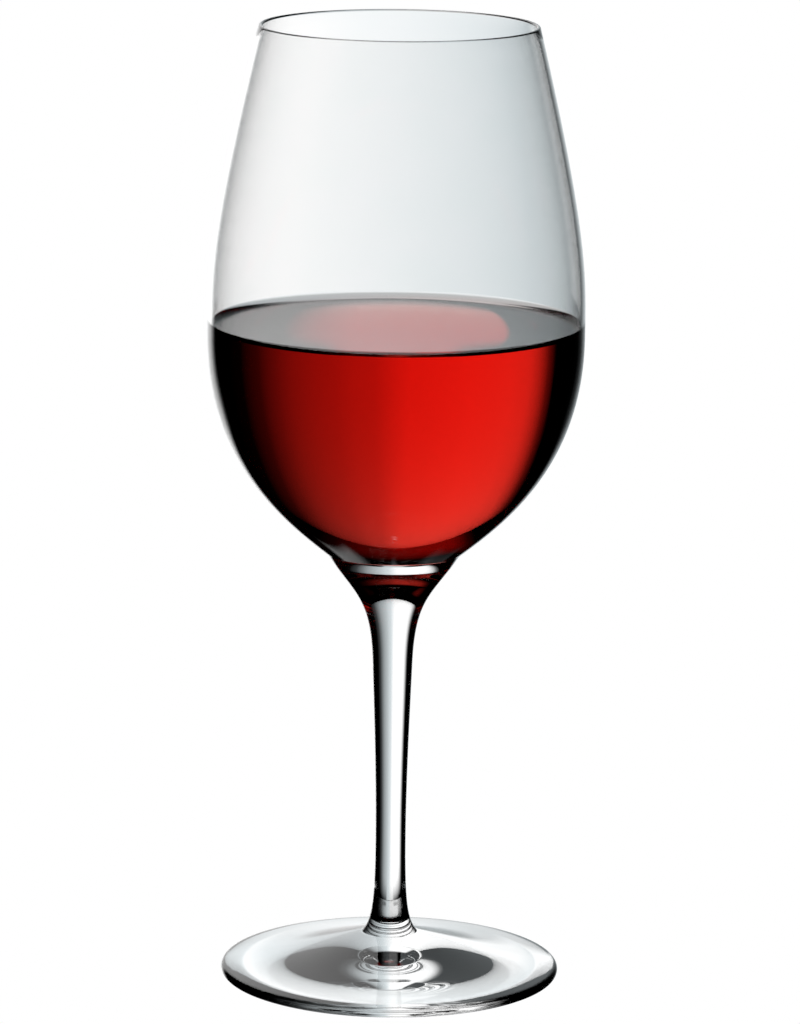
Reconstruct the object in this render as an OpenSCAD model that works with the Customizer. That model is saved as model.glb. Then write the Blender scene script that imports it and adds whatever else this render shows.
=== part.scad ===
// Stemmed red wine glass with a wine fill: one blown bowl, one drawn stem and one pressed foot,
// fused on a common axis. Every piece is a solid of revolution about Z. Millimetres, +Z up,
// origin at the centre of the circle that the foot rests on.

/* [Bowl] */
// Height of the mouth's edge above the table
glass_h = 222; // [216:1:230]
// Outer radius of the mouth
mouth_r = 32; // [30:0.5:35]
// Outer radius of the bowl at its widest
belly_r = 43.2; // [42:0.2:45]
// Height of the widest level
belly_z = 151; // [148:1:156]
// Wall thickness above the belly
wall = 1; // [0.9:0.1:1.2]
// Glass thickness under the wine at the axis, down to the seam
base_t = 3; // [2.8:0.1:3.2]
// Radius of the crease where the bowl's underside runs into the stem's head
crease_r = 15.4; // [15:0.1:15.8]
// Height of the crease
crease_z = 99.9; // [99.6:0.1:100.2]

/* [Stem] */
// Height of the seam between the bowl and the stem
seat_z = 97; // [96.8:0.1:97.2]
// Radius of the seam between the bowl and the stem
seat_r = 13.4; // [13.2:0.1:13.6]
// Radius of the stem at its narrowest
waist_r = 3.5; // [3:0.1:4]
// Height of the narrowest level
waist_z = 32; // [28:1:36]

/* [Foot] */
// Radius of the foot
foot_r = 39.3; // [37:0.1:41]
// Thickness of the foot at its rounded edge
edge_t = 2.4; // [2:0.1:2.8]
// Height of the seam between the stem and the foot
ankle_z = 9.8; // [9.4:0.1:10.2]
// Radius of the seam between the stem and the foot
ankle_r = 6.4; // [6:0.1:6.8]
// Rise of the hollow under the foot at the axis
hollow_h = 2.4; // [2:0.2:2.8]

/* [Wine] */
// Height of the flat part of the wine's surface
wine_z = 152.7; // [140:0.1:160]
// Climb of the wine's edge up the wall
climb = 1.6; // [1.2:0.1:1.8]

/* [Colour] */
// Glass
glass_colour = [0.86, 0.92, 0.94, 0.35];
// Red wine
wine_colour = [0.45, 0.02, 0.02, 0.9];

/* [Hidden] */
$fn = 96;
curve_n = 22;          // chords in each curve of an outline

// Outline points are [radius, height].
lean = 0.245;          // inward slope of the wall at the mouth
rise_a = 38;           // rise of the bowl's wall at the crease, in degrees
rise = [cos(rise_a), sin(rise_a)];
rim_r = wall / 2;      // fire-polished edge of the mouth
floor_reach = 10;      // reach of the flat of the bowl's floor
floor_z = seat_z + base_t;
knee = [crease_r + 1.3, crease_z + 2.4];    // inside of the wall, opposite the crease

// Point at t on the cubic curve from a to d with handles b and c
function cubic(a, b, c, d, t) =
    pow(1 - t, 3) * a + 3 * pow(1 - t, 2) * t * b + 3 * (1 - t) * t * t * c + pow(t, 3) * d;
// The curve's points, leaving out its first one
function curve(a, b, c, d, n = curve_n) = [for (i = [1:n]) cubic(a, b, c, d, i / n)];
// Points of a circular arc about c, between the angles a0 and a1
function arc(c, r, a0, a1, n = 10) =
    [for (i = [0:n]) let (a = a0 + (a1 - a0) * i / n) c + r * [cos(a), sin(a)]];
function reversed(v) = [for (i = [len(v) - 1:-1:0]) v[i]];

// Outside of the bowl from the seam up to the start of the rounded rim
function bowl_outside() =
    let (crease = [crease_r, crease_z], belly = [belly_r, belly_z], top = [mouth_r, glass_h - rim_r])
    concat(
        [[seat_r, seat_z], crease],
        curve(crease, crease + 13.5 * rise, belly - [0, 29], belly),
        curve(belly, belly + [0, 13], top + 48 * [lean, -1], top)
    );

// Inside of the bowl from the floor's centre up to the start of the rounded rim
function bowl_inside() =
    let (centre = [0, floor_z], belly = [belly_r - wall, belly_z], top = [mouth_r - wall, glass_h - rim_r])
    concat(
        [centre],
        curve(centre, [floor_reach, floor_z], knee - 3 * rise, knee, 10),
        curve(knee, knee + 12.5 * rise, belly - [0, 27], belly),
        curve(belly, belly + [0, 13], top + 48 * [lean, -1], top)
    );

module bowl() {
    rim = arc([mouth_r - rim_r, glass_h - rim_r], rim_r, 0, 180);
    color(glass_colour)
        rotate_extrude()
            polygon(concat([[0, seat_z]], bowl_outside(), rim, reversed(bowl_inside())));
}

module stem() {
    seat = [seat_r, seat_z];
    waist = [waist_r, waist_z];
    neck = [4.6, 74];                  // where the stem starts to open into its head
    ankle = [ankle_r, ankle_z];
    fall = 53.8;                       // slope of the head at the seam, in degrees
    color(glass_colour)
        rotate_extrude()
            polygon(concat(
                [[0, ankle_z], ankle],
                curve(ankle, ankle + [-2.1, 2.4], waist - [0, 16], waist),
                curve(waist, waist + [0, 16], neck - [0.36, 10], neck),
                curve(neck, neck + [0.5, 13.9], seat - 8.7 * [cos(fall), sin(fall)], seat),
                [[0, seat_z]]
            ));
}

module foot() {
    edge_r = edge_t / 2;
    edge = [foot_r - edge_r, edge_r];
    slope = 8;                         // fall of the upper face at its edge, in degrees
    ankle_slope = 16;                  // and at the seam with the stem
    rest_r = foot_r - 5;               // inner radius of the flat ring that meets the table
    ankle = [ankle_r, ankle_z];
    // Radius of the sphere that the hollow is a cap of
    hollow_r = (rest_r * rest_r + hollow_h * hollow_h) / (2 * hollow_h);
    hollow_a = asin(rest_r / hollow_r);
    rim = arc(edge, edge_r, -90, 90 - slope);
    lip = rim[len(rim) - 1];
    color(glass_colour)
        rotate_extrude()
            polygon(concat(
                reversed(arc([0, hollow_h - hollow_r], hollow_r, 90 - hollow_a, 90, 12)),
                rim,
                curve(lip, lip + 11 * [-cos(slope), sin(slope)],
                    ankle + 10 * [cos(ankle_slope), -sin(ankle_slope)], ankle),
                [[0, ankle_z]]
            ));
}

module wine() {
    wall_line = bowl_inside();
    heights = [for (p = wall_line) [p[1], p[0]]];
    top_z = wine_z + climb;
    top_r = lookup(top_z, heights);
    reach = 2.4;                       // width of the climbing edge
    wetted = [for (p = wall_line) if (p[1] < top_z) p];
    surface = [top_r - reach, wine_z];
    color(wine_colour)
        rotate_extrude()
            polygon(concat(
                wetted,
                [[top_r, top_z]],
                curve([top_r, top_z], [top_r - 0.2, top_z - 0.9], surface + [1.1, 0], surface, 10),
                [[0, wine_z]]
            ));
}

bowl();
stem();
foot();
wine();
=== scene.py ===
"""Looks of the stemmed red wine glass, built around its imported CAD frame.

The bowl, stem and foot are clear glass, fused at hidden seams, and the wine is an absorbing
liquid. Everything is a surface of revolution about the frame's Z axis, in metres.
"""

import math

import bpy
import numpy as np
from mathutils import Matrix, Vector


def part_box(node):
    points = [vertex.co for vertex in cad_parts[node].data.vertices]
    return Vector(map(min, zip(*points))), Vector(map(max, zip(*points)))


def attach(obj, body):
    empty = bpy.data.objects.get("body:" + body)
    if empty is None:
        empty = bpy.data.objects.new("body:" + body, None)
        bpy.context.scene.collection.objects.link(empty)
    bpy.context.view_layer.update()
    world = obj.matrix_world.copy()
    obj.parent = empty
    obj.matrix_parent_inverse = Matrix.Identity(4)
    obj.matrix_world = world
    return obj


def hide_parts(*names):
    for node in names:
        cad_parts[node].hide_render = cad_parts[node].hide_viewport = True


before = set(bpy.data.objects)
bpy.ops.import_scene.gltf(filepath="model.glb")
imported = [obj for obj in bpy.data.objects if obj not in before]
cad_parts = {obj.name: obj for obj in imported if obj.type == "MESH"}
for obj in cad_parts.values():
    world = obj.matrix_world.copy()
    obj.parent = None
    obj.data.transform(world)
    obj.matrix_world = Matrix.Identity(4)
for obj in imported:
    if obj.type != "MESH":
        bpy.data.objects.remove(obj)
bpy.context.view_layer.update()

MM = 0.001
SEGMENTS = 240          # facets round the axis
CURVE_CHORDS = 48       # chords in each long curve of an outline

# ---------------------------------------------------------------- sizes, in metres
bowl_low, bowl_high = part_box("bowl")
_, foot_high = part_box("foot")
wine_low, wine_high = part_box("wine")

GLASS_TOP = bowl_high.z
BELLY_R = bowl_high.x
BELLY_Z = 151 * MM
BELLY_RISE = 13 * MM    # handle of the wall above the belly
MOUTH_R = 32 * MM
WALL = 1 * MM
LEAN = 0.245            # inward slope of the wall at the mouth
MOUTH_PULL = 48 * MM    # handle of the wall below the mouth
RIM_R = WALL / 2
CREASE_Z = 99.9 * MM
CREASE_R = 15.4 * MM
CREASE_RISE = math.radians(38)
CREASE_PULL = 13.5 * MM
BELLY_PULL = 29 * MM    # handle of the outside below the belly
SEAT_Z = bowl_low.z
SEAT_R = 13.4 * MM
SEAT_FALL = math.radians(53.8)
NECK_PULL = 8.7 * MM
FLOOR_Z = wine_low.z
FLOOR_REACH = 10 * MM
KNEE_R = CREASE_R + 1.3 * MM    # inside of the wall, opposite the crease
KNEE_Z = CREASE_Z + 2.4 * MM
KNEE_RISE = CREASE_RISE
KNEE_IN = 3 * MM
KNEE_OUT = 12.5 * MM
WALL_PULL = 27 * MM     # and of the inside
WAIST_R = 3.5 * MM
WAIST_Z = 32 * MM
NECK_R = 4.6 * MM
NECK_Z = 74 * MM        # where the stem starts to open into its head
WAIST_PULL = 16 * MM
NECK_BELOW = np.array([0.36, 10]) * MM      # handles of the stem's curves at the neck
NECK_ABOVE = np.array([0.5, 13.9]) * MM
ANKLE_ABOVE = np.array([-2.1, 2.4]) * MM    # and at the ankle
ANKLE_R = 6.4 * MM
ANKLE_Z = foot_high.z
ANKLE_SLOPE = math.radians(16)
FOOT_R = foot_high.x
EDGE_R = 1.2 * MM       # half the foot's thickness at its edge
FOOT_SLOPE = math.radians(8)
ANKLE_PULL = 10 * MM
FOOT_PULL = 11 * MM
REST_R = FOOT_R - 5 * MM        # inner radius of the ring that meets the table
HOLLOW_H = 2.4 * MM     # rise of the hollow inside that ring
WINE_EDGE_Z = wine_high.z
WINE_CLIMB = 1.6 * MM
WINE_Z = WINE_EDGE_Z - WINE_CLIMB
MENISCUS_REACH = 2.4 * MM       # width of the climbing edge
MENISCUS_FALL = np.array([0.3, 0.9]) * MM
MENISCUS_RUN = 1.1 * MM
GLASS_IOR = 1.5
WINE_IOR = 1.34
TINTED_GLASS = (0.99, 0.996, 0.994, 1)
WINE_TINT = (0.928, 0.139, 0.028, 1)
WINE_DENSITY = 72
SAME = 1e-6             # heights closer than this are one level
SKIN = 0.05 * MM        # depth of the wine's surface piece, and how far its edge runs into the wall
CLEARANCE = 0.02 * MM   # between the wine and the faces beside it


# ---------------------------------------------------------------- outlines, as [radius, height]
def point(r, z):
    return np.array([r, z])


def curve(a, b, c, d, n=CURVE_CHORDS):
    """Points of the cubic curve from a to d with handles b and c, leaving out a."""
    t = np.linspace(0, 1, n + 1)[1:, None]
    return list((1 - t) ** 3 * a + 3 * (1 - t) ** 2 * t * b + 3 * (1 - t) * t ** 2 * c + t ** 3 * d)


def arc(centre, r, start, end, n=16):
    angles = np.radians(np.linspace(start, end, n + 1))
    return [centre + r * np.array([math.cos(a), math.sin(a)]) for a in angles]


def upper_wall(belly, top):
    """The wall from the belly up to the start of the rounded rim, the same outside and inside."""
    return curve(belly, belly + point(0, BELLY_RISE), top + MOUTH_PULL * point(LEAN, -1), top)


def bowl_outside():
    crease = point(CREASE_R, CREASE_Z)
    belly, top = point(BELLY_R, BELLY_Z), point(MOUTH_R, GLASS_TOP - RIM_R)
    rise = CREASE_PULL * point(math.cos(CREASE_RISE), math.sin(CREASE_RISE))
    low = curve(crease, crease + rise, belly - point(0, BELLY_PULL), belly)
    return [point(SEAT_R, SEAT_Z), crease, *low, *upper_wall(belly, top)]


def bowl_inside():
    """The inside from the floor's centre to the rim, with a point where the wine's edge meets it."""
    centre = point(0, FLOOR_Z)
    belly, top = point(BELLY_R - WALL, BELLY_Z), point(MOUTH_R - WALL, GLASS_TOP - RIM_R)
    knee = point(KNEE_R, KNEE_Z)
    rise = point(math.cos(KNEE_RISE), math.sin(KNEE_RISE))
    floor = curve(centre, point(FLOOR_REACH, FLOOR_Z), knee - KNEE_IN * rise, knee)
    low = [*floor, *curve(knee, knee + KNEE_OUT * rise, belly - point(0, WALL_PULL), belly)]
    wall = [centre, *low, *upper_wall(belly, top)]
    heights = [p[1] for p in wall]
    above = next(i for i, z in enumerate(heights) if z > WINE_EDGE_Z)
    edge_r = np.interp(WINE_EDGE_Z, heights, [p[0] for p in wall])
    return wall[:above] + [point(edge_r, WINE_EDGE_Z)] + wall[above:]


def bowl_outline():
    rim = arc(point(MOUTH_R - RIM_R, GLASS_TOP - RIM_R), RIM_R, 0, 180)[1:-1]
    return [point(0, SEAT_Z), *bowl_outside(), *rim, *reversed(bowl_inside())]


def stem_outline():
    seat, waist = point(SEAT_R, SEAT_Z), point(WAIST_R, WAIST_Z)
    neck, ankle = point(NECK_R, NECK_Z), point(ANKLE_R, ANKLE_Z)
    flare = NECK_PULL * point(math.cos(SEAT_FALL), math.sin(SEAT_FALL))
    return [
        point(0, ANKLE_Z), ankle,
        *curve(ankle, ankle + ANKLE_ABOVE, waist - point(0, WAIST_PULL), waist),
        *curve(waist, waist + point(0, WAIST_PULL), neck - NECK_BELOW, neck),
        *curve(neck, neck + NECK_ABOVE, seat - flare, seat),
        point(0, SEAT_Z),
    ]


def foot_outline():
    edge = point(FOOT_R - EDGE_R, EDGE_R)
    hollow_r = (REST_R ** 2 + HOLLOW_H ** 2) / (2 * HOLLOW_H)
    half = math.degrees(math.asin(REST_R / hollow_r))
    ankle = point(ANKLE_R, ANKLE_Z)
    under = arc(point(0, HOLLOW_H - hollow_r), hollow_r, 90, 90 - half, 40)
    rim = arc(edge, EDGE_R, -90, 90 - math.degrees(FOOT_SLOPE))
    out = ANKLE_PULL * point(math.cos(ANKLE_SLOPE), -math.sin(ANKLE_SLOPE))
    back = FOOT_PULL * point(-math.cos(FOOT_SLOPE), math.sin(FOOT_SLOPE))
    return [*under, *rim, *curve(rim[-1], rim[-1] + back, ankle + out, ankle), point(0, ANKLE_Z)]


def wine_edge():
    return next(p for p in bowl_inside() if p[1] >= WINE_EDGE_Z)


def wine_top(drop=0.0, spread=0.0):
    """The wine's free surface, from its climbing edge in to the axis, lowered and widened a little."""
    edge = wine_edge() + point(spread, -drop)
    level = point(wine_edge()[0] - MENISCUS_REACH, WINE_Z - drop)
    climb = curve(edge, edge - MENISCUS_FALL, level + point(MENISCUS_RUN, 0), level, 14)
    return [edge, *climb, point(0, WINE_Z - drop)]


def wine_outline():
    """The fill, just clear of the wall and of the surface piece, so that no two faces coincide."""
    wall = bowl_inside()
    wetted = [wall[0] + point(0, CLEARANCE)]
    for before, p, after in zip(wall, wall[1:], wall[2:]):
        if p[1] < WINE_EDGE_Z - 3 * CLEARANCE:
            along = (after - before) / np.linalg.norm(after - before)
            wetted.append(p + CLEARANCE * point(-along[1], along[0]))
    return [*wetted, *wine_top(drop=SKIN + CLEARANCE, spread=-CLEARANCE)]


def surface_outline():
    """A thin closed sheet under the wine's free surface, running a little into the wall."""
    return [*reversed(wine_top(drop=SKIN, spread=SKIN)), *wine_top(spread=SKIN)]


# ---------------------------------------------------------------- mesh
def revolve(name, outline, materials, pick=None):
    """A closed mesh: the outline turned about Z. pick(face) chooses each face's material."""
    inner = [p for p in outline if p[0] > SAME]
    low, high = outline[0], outline[-1]
    angles = np.linspace(0, 2 * math.pi, SEGMENTS, endpoint=False)
    verts = [(p[0] * math.cos(a), p[0] * math.sin(a), p[1]) for p in inner for a in angles]
    start, end = len(verts), len(verts) + 1
    verts += [(0, 0, low[1]), (0, 0, high[1])]
    faces = []
    for ring in range(len(inner) - 1):
        a, b = ring * SEGMENTS, (ring + 1) * SEGMENTS
        for i in range(SEGMENTS):
            j = (i + 1) % SEGMENTS
            faces.append((a + i, a + j, b + j, b + i))
    last = (len(inner) - 1) * SEGMENTS
    for i in range(SEGMENTS):
        j = (i + 1) % SEGMENTS
        faces.append((start, j, i))
        faces.append((end, last + i, last + j))
    mesh = bpy.data.meshes.new(name)
    mesh.from_pydata(verts, [], faces)
    mesh.validate()
    for material in materials:
        mesh.materials.append(material)
    for face in mesh.polygons:
        face.use_smooth = True
        if pick:
            face.material_index = pick(face)
    mesh.set_sharp_from_angle(angle=math.radians(30))
    piece = bpy.data.objects.new(name, mesh)
    bpy.context.scene.collection.objects.link(piece)
    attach(piece, "root")
    return piece


# ---------------------------------------------------------------- materials
def new_material(name):
    material = bpy.data.materials.new(name)
    material.use_nodes = True
    nodes, links = material.node_tree.nodes, material.node_tree.links
    shader = nodes["Principled BSDF"]
    return material, nodes, links, shader


def clear_glass(name, ior=GLASS_IOR, patch=0.0):
    """Clear glass. With a patch size in metres, its tint drifts very slightly from patch to patch."""
    material, nodes, links, shader = new_material(name)
    shader.inputs["Base Color"].default_value = (1, 1, 1, 1)
    shader.inputs["Roughness"].default_value = 0.0
    shader.inputs["IOR"].default_value = ior
    shader.inputs["Transmission Weight"].default_value = 1.0
    if patch:
        place = nodes.new("ShaderNodeTexCoord")
        noise = nodes.new("ShaderNodeTexNoise")
        noise.inputs["Scale"].default_value = 1 / patch
        noise.inputs["Detail"].default_value = 1
        tint = nodes.new("ShaderNodeValToRGB")
        tint.color_ramp.elements[0].position = 0.35
        tint.color_ramp.elements[0].color = (1, 1, 1, 1)
        tint.color_ramp.elements[1].position = 0.7
        tint.color_ramp.elements[1].color = TINTED_GLASS
        links.new(place.outputs["Object"], noise.inputs["Vector"])
        links.new(noise.outputs["Fac"], tint.inputs["Fac"])
        links.new(tint.outputs["Color"], shader.inputs["Base Color"])
    return material


def unseen(name):
    """For faces inside a fused joint or inside the wine, where there is no real surface."""
    material, nodes, links, shader = new_material(name)
    shader.inputs["Alpha"].default_value = 0.0
    return material


def red_wine():
    """The wine's colour alone: its wetted walls and its surface piece do the bending of light."""
    material = clear_glass("red_wine", 1.0)
    nodes, links = material.node_tree.nodes, material.node_tree.links
    absorb = nodes.new("ShaderNodeVolumeAbsorption")
    absorb.inputs["Color"].default_value = WINE_TINT
    absorb.inputs["Density"].default_value = WINE_DENSITY
    links.new(absorb.outputs["Volume"], nodes["Material Output"].inputs["Volume"])
    return material


def is_seam(face):
    """Whether a face of the stem or the foot lies in a fused seam."""
    level = any(abs(face.center.z - z) < SAME for z in (SEAT_Z, ANKLE_Z))
    return int(level and abs(face.normal.z) > 0.99)


def bowl_face(face):
    """0 for glass against air, 1 in the seam with the stem, 2 for glass against wine."""
    radius = max(math.hypot(face.center.x, face.center.y), SAME)
    outward = (face.normal.x * face.center.x + face.normal.y * face.center.y) / radius
    if abs(face.center.z - SEAT_Z) < SAME:
        return 1
    inside = outward < -0.01 or face.normal.z > 0.5
    return 2 if inside and face.center.z < WINE_EDGE_Z else 0


def under_surface(face):
    return int(face.normal.z < 0.1)


seam = unseen("fused_seam")
bowl_materials = [
    clear_glass("bowl_glass", patch=12 * MM), seam, clear_glass("wetted_glass", GLASS_IOR / WINE_IOR),
]
bowl = revolve("glass_bowl", bowl_outline(), bowl_materials, bowl_face)
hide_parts("bowl")

stem = revolve("glass_stem", stem_outline(), [clear_glass("stem_glass", patch=8 * MM), seam], is_seam)
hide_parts("stem")

foot = revolve("glass_foot", foot_outline(), [clear_glass("foot_glass", patch=10 * MM), seam], is_seam)
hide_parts("foot")

wine = revolve("wine_fill", wine_outline(), [red_wine()])
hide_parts("wine")

surface_materials = [clear_glass("wine_surface", WINE_IOR, patch=20 * MM), unseen("wine_below_surface")]
surface = revolve("wine_surface", surface_outline(), surface_materials, under_surface)

# ---------------------------------------------------------------- camera
CAMERA_BACK = 1.270
CAMERA_UP = 0.3689
CAMERA_PITCH = math.radians(11.542)
CAMERA_ROLL = math.radians(0.65)
CAMERA_X = 1.34 * MM
CAMERA_LENS = 198
camera_data = bpy.data.cameras.new("camera")
camera_data.lens = CAMERA_LENS
camera_data.sensor_width = 36
camera_data.clip_end = 20
camera = bpy.data.objects.new("camera", camera_data)
camera.matrix_world = (
    Matrix.Translation((CAMERA_X, -CAMERA_BACK, CAMERA_UP))
    @ Matrix.Rotation(math.pi / 2 - CAMERA_PITCH, 4, "X")
    @ Matrix.Rotation(CAMERA_ROLL, 4, "Z")
)
bpy.context.scene.collection.objects.link(camera)
bpy.context.scene.camera = camera

# ---------------------------------------------------------------- light
# The tent is lit unevenly, and it turns with the camera, as a set does round a turntable. Each table
# gives its brightness by angle in degrees: SIDE is to the right of the line of sight, and OVER runs
# from the far horizon at 0 to the zenith at 90 and on towards the camera; below the horizon it is
# negative. The bright back is one window of TENT_OVER and a dim overhead strip is the other.
TENT_R = 8.0
TENT_HEIGHT = 0.12
TENT_RINGS = 180
TENT_TURNS = 360
TENT_SIDE = [
    (-35, 0), (-32, 0.15), (-28, 0.7), (-25, 1.05), (-20, 1.21), (-12, 1.26), (-6, 1.18), (-2, 1.12),
    (0, 1), (3, 0.78), (6, 0.7), (9, 0.57), (13, 0.46), (17, 0.34), (21, 0.19), (26, 0.05),
    (33, 0.002), (40, 0),
]
TENT_OVER = [(-24, 0), (-19, 1), (50, 1), (54, 0), (76, 0), (86, 0.3), (95, 0.3), (99, 0)]
# A low panel behind the glass, and a narrow one that joins it to the bright back
LOW_SIDE = [(-17, 0), (-15, 1), (4, 1), (16, 0)]
LOW_OVER = [(-60, 0), (-55, 0.6), (-42, 0.6), (-38, 0)]
MID_SIDE = [(-9, 0), (-6, 1), (6, 1), (9, 0)]
MID_OVER = [(-42, 0), (-38, 0.6), (-24, 0.6), (-19, 0)]
# The tent's right side is a little bluer
TINT_SIDE = [(-2, 0), (3, 1)]
SHADE_TINT = (0.92, 1.0, 1.03)
FLOOR_HALF = 4.0
FLOOR_DROP = 0.0001


def stops(table, x):
    """The value at x, with straight lines between the table's stops."""
    return np.interp(x, [a for a, b in table], [b for a, b in table])


def tent_glow(azimuth, elevation):
    """Brightness of the light tent, by the angle right of and above the line of sight, in degrees."""
    az, el = math.radians(azimuth), math.radians(elevation)
    x, y, z = math.cos(el) * math.sin(az), math.cos(el) * math.cos(az), math.sin(el)
    side = math.degrees(math.asin(max(-1, min(1, x))))
    over = math.degrees(math.atan2(z, y))
    glow = stops(TENT_SIDE, side) * stops(TENT_OVER, over)
    glow += stops(LOW_SIDE, side) * stops(LOW_OVER, over)
    glow += stops(MID_SIDE, side) * stops(MID_OVER, over)
    shade = stops(TINT_SIDE, side)
    return [glow * (1 + shade * (t - 1)) for t in SHADE_TINT]


def emission(name, colour_attribute=None):
    material = bpy.data.materials.new(name)
    material.use_nodes = True
    nodes, links = material.node_tree.nodes, material.node_tree.links
    nodes.clear()
    out = nodes.new("ShaderNodeOutputMaterial")
    glow = nodes.new("ShaderNodeEmission")
    links.new(glow.outputs["Emission"], out.inputs["Surface"])
    if colour_attribute:
        read = nodes.new("ShaderNodeAttribute")
        read.attribute_name = colour_attribute
        links.new(read.outputs["Color"], glow.inputs["Color"])
    return material


def light_tent():
    """A ball of glowing cloth round the set, which the camera itself doesn't see."""
    rings, turns = TENT_RINGS, TENT_TURNS
    verts, tones = [], []
    for i in range(rings + 1):
        el = math.radians(-90 + 180 * i / rings)
        for j in range(turns):
            az = math.radians(-180 + 360 * j / turns)
            verts.append((
                TENT_R * math.cos(el) * math.sin(az),
                TENT_R * math.cos(el) * math.cos(az),
                TENT_R * math.sin(el),
            ))
            tones += [*tent_glow(math.degrees(az), math.degrees(el)), 1]
    faces = []
    for i in range(rings):
        for j in range(turns):
            k = (j + 1) % turns
            faces.append((i * turns + j, i * turns + k, (i + 1) * turns + k, (i + 1) * turns + j))
    mesh = bpy.data.meshes.new("light_tent")
    mesh.from_pydata(verts, [], faces)
    mesh.color_attributes.new("glow", "FLOAT_COLOR", "POINT").data.foreach_set("color", tones)
    mesh.materials.append(emission("tent_cloth", "glow"))
    tent = bpy.data.objects.new("light_tent", mesh)
    bpy.context.scene.collection.objects.link(tent)
    tent.visible_camera = False
    tent.location.z = TENT_HEIGHT
    bpy.context.view_layer.update()
    world = tent.matrix_world.copy()
    tent.parent = camera
    tent.matrix_parent_inverse = camera.matrix_world.inverted()
    tent.matrix_world = world


def floor():
    """A glowing white sheet that only the camera sees, so light bent by the glass comes from the tent."""
    s = FLOOR_HALF
    mesh = bpy.data.meshes.new("floor")
    mesh.from_pydata([(-s, -s, 0), (s, -s, 0), (s, s, 0), (-s, s, 0)], [], [(0, 1, 2, 3)])
    mesh.materials.append(emission("floor_white"))
    sheet = bpy.data.objects.new("floor", mesh)
    sheet.location.z = -FLOOR_DROP
    bpy.context.scene.collection.objects.link(sheet)
    sheet.visible_diffuse = sheet.visible_glossy = sheet.visible_transmission = False
    sheet.visible_volume_scatter = sheet.visible_shadow = False


light_tent()
floor()

world = bpy.data.worlds.new("world")
bpy.context.scene.world = world
world.use_nodes = True
world.node_tree.nodes["Background"].inputs["Color"].default_value = (1, 1, 1, 1)

scene = bpy.context.scene
scene.view_settings.view_transform = "Standard"
scene.cycles.max_bounces = 32
scene.cycles.transmission_bounces = 32
scene.cycles.glossy_bounces = 16
scene.cycles.transparent_max_bounces = 32
scene.cycles.sample_clamp_indirect = 0
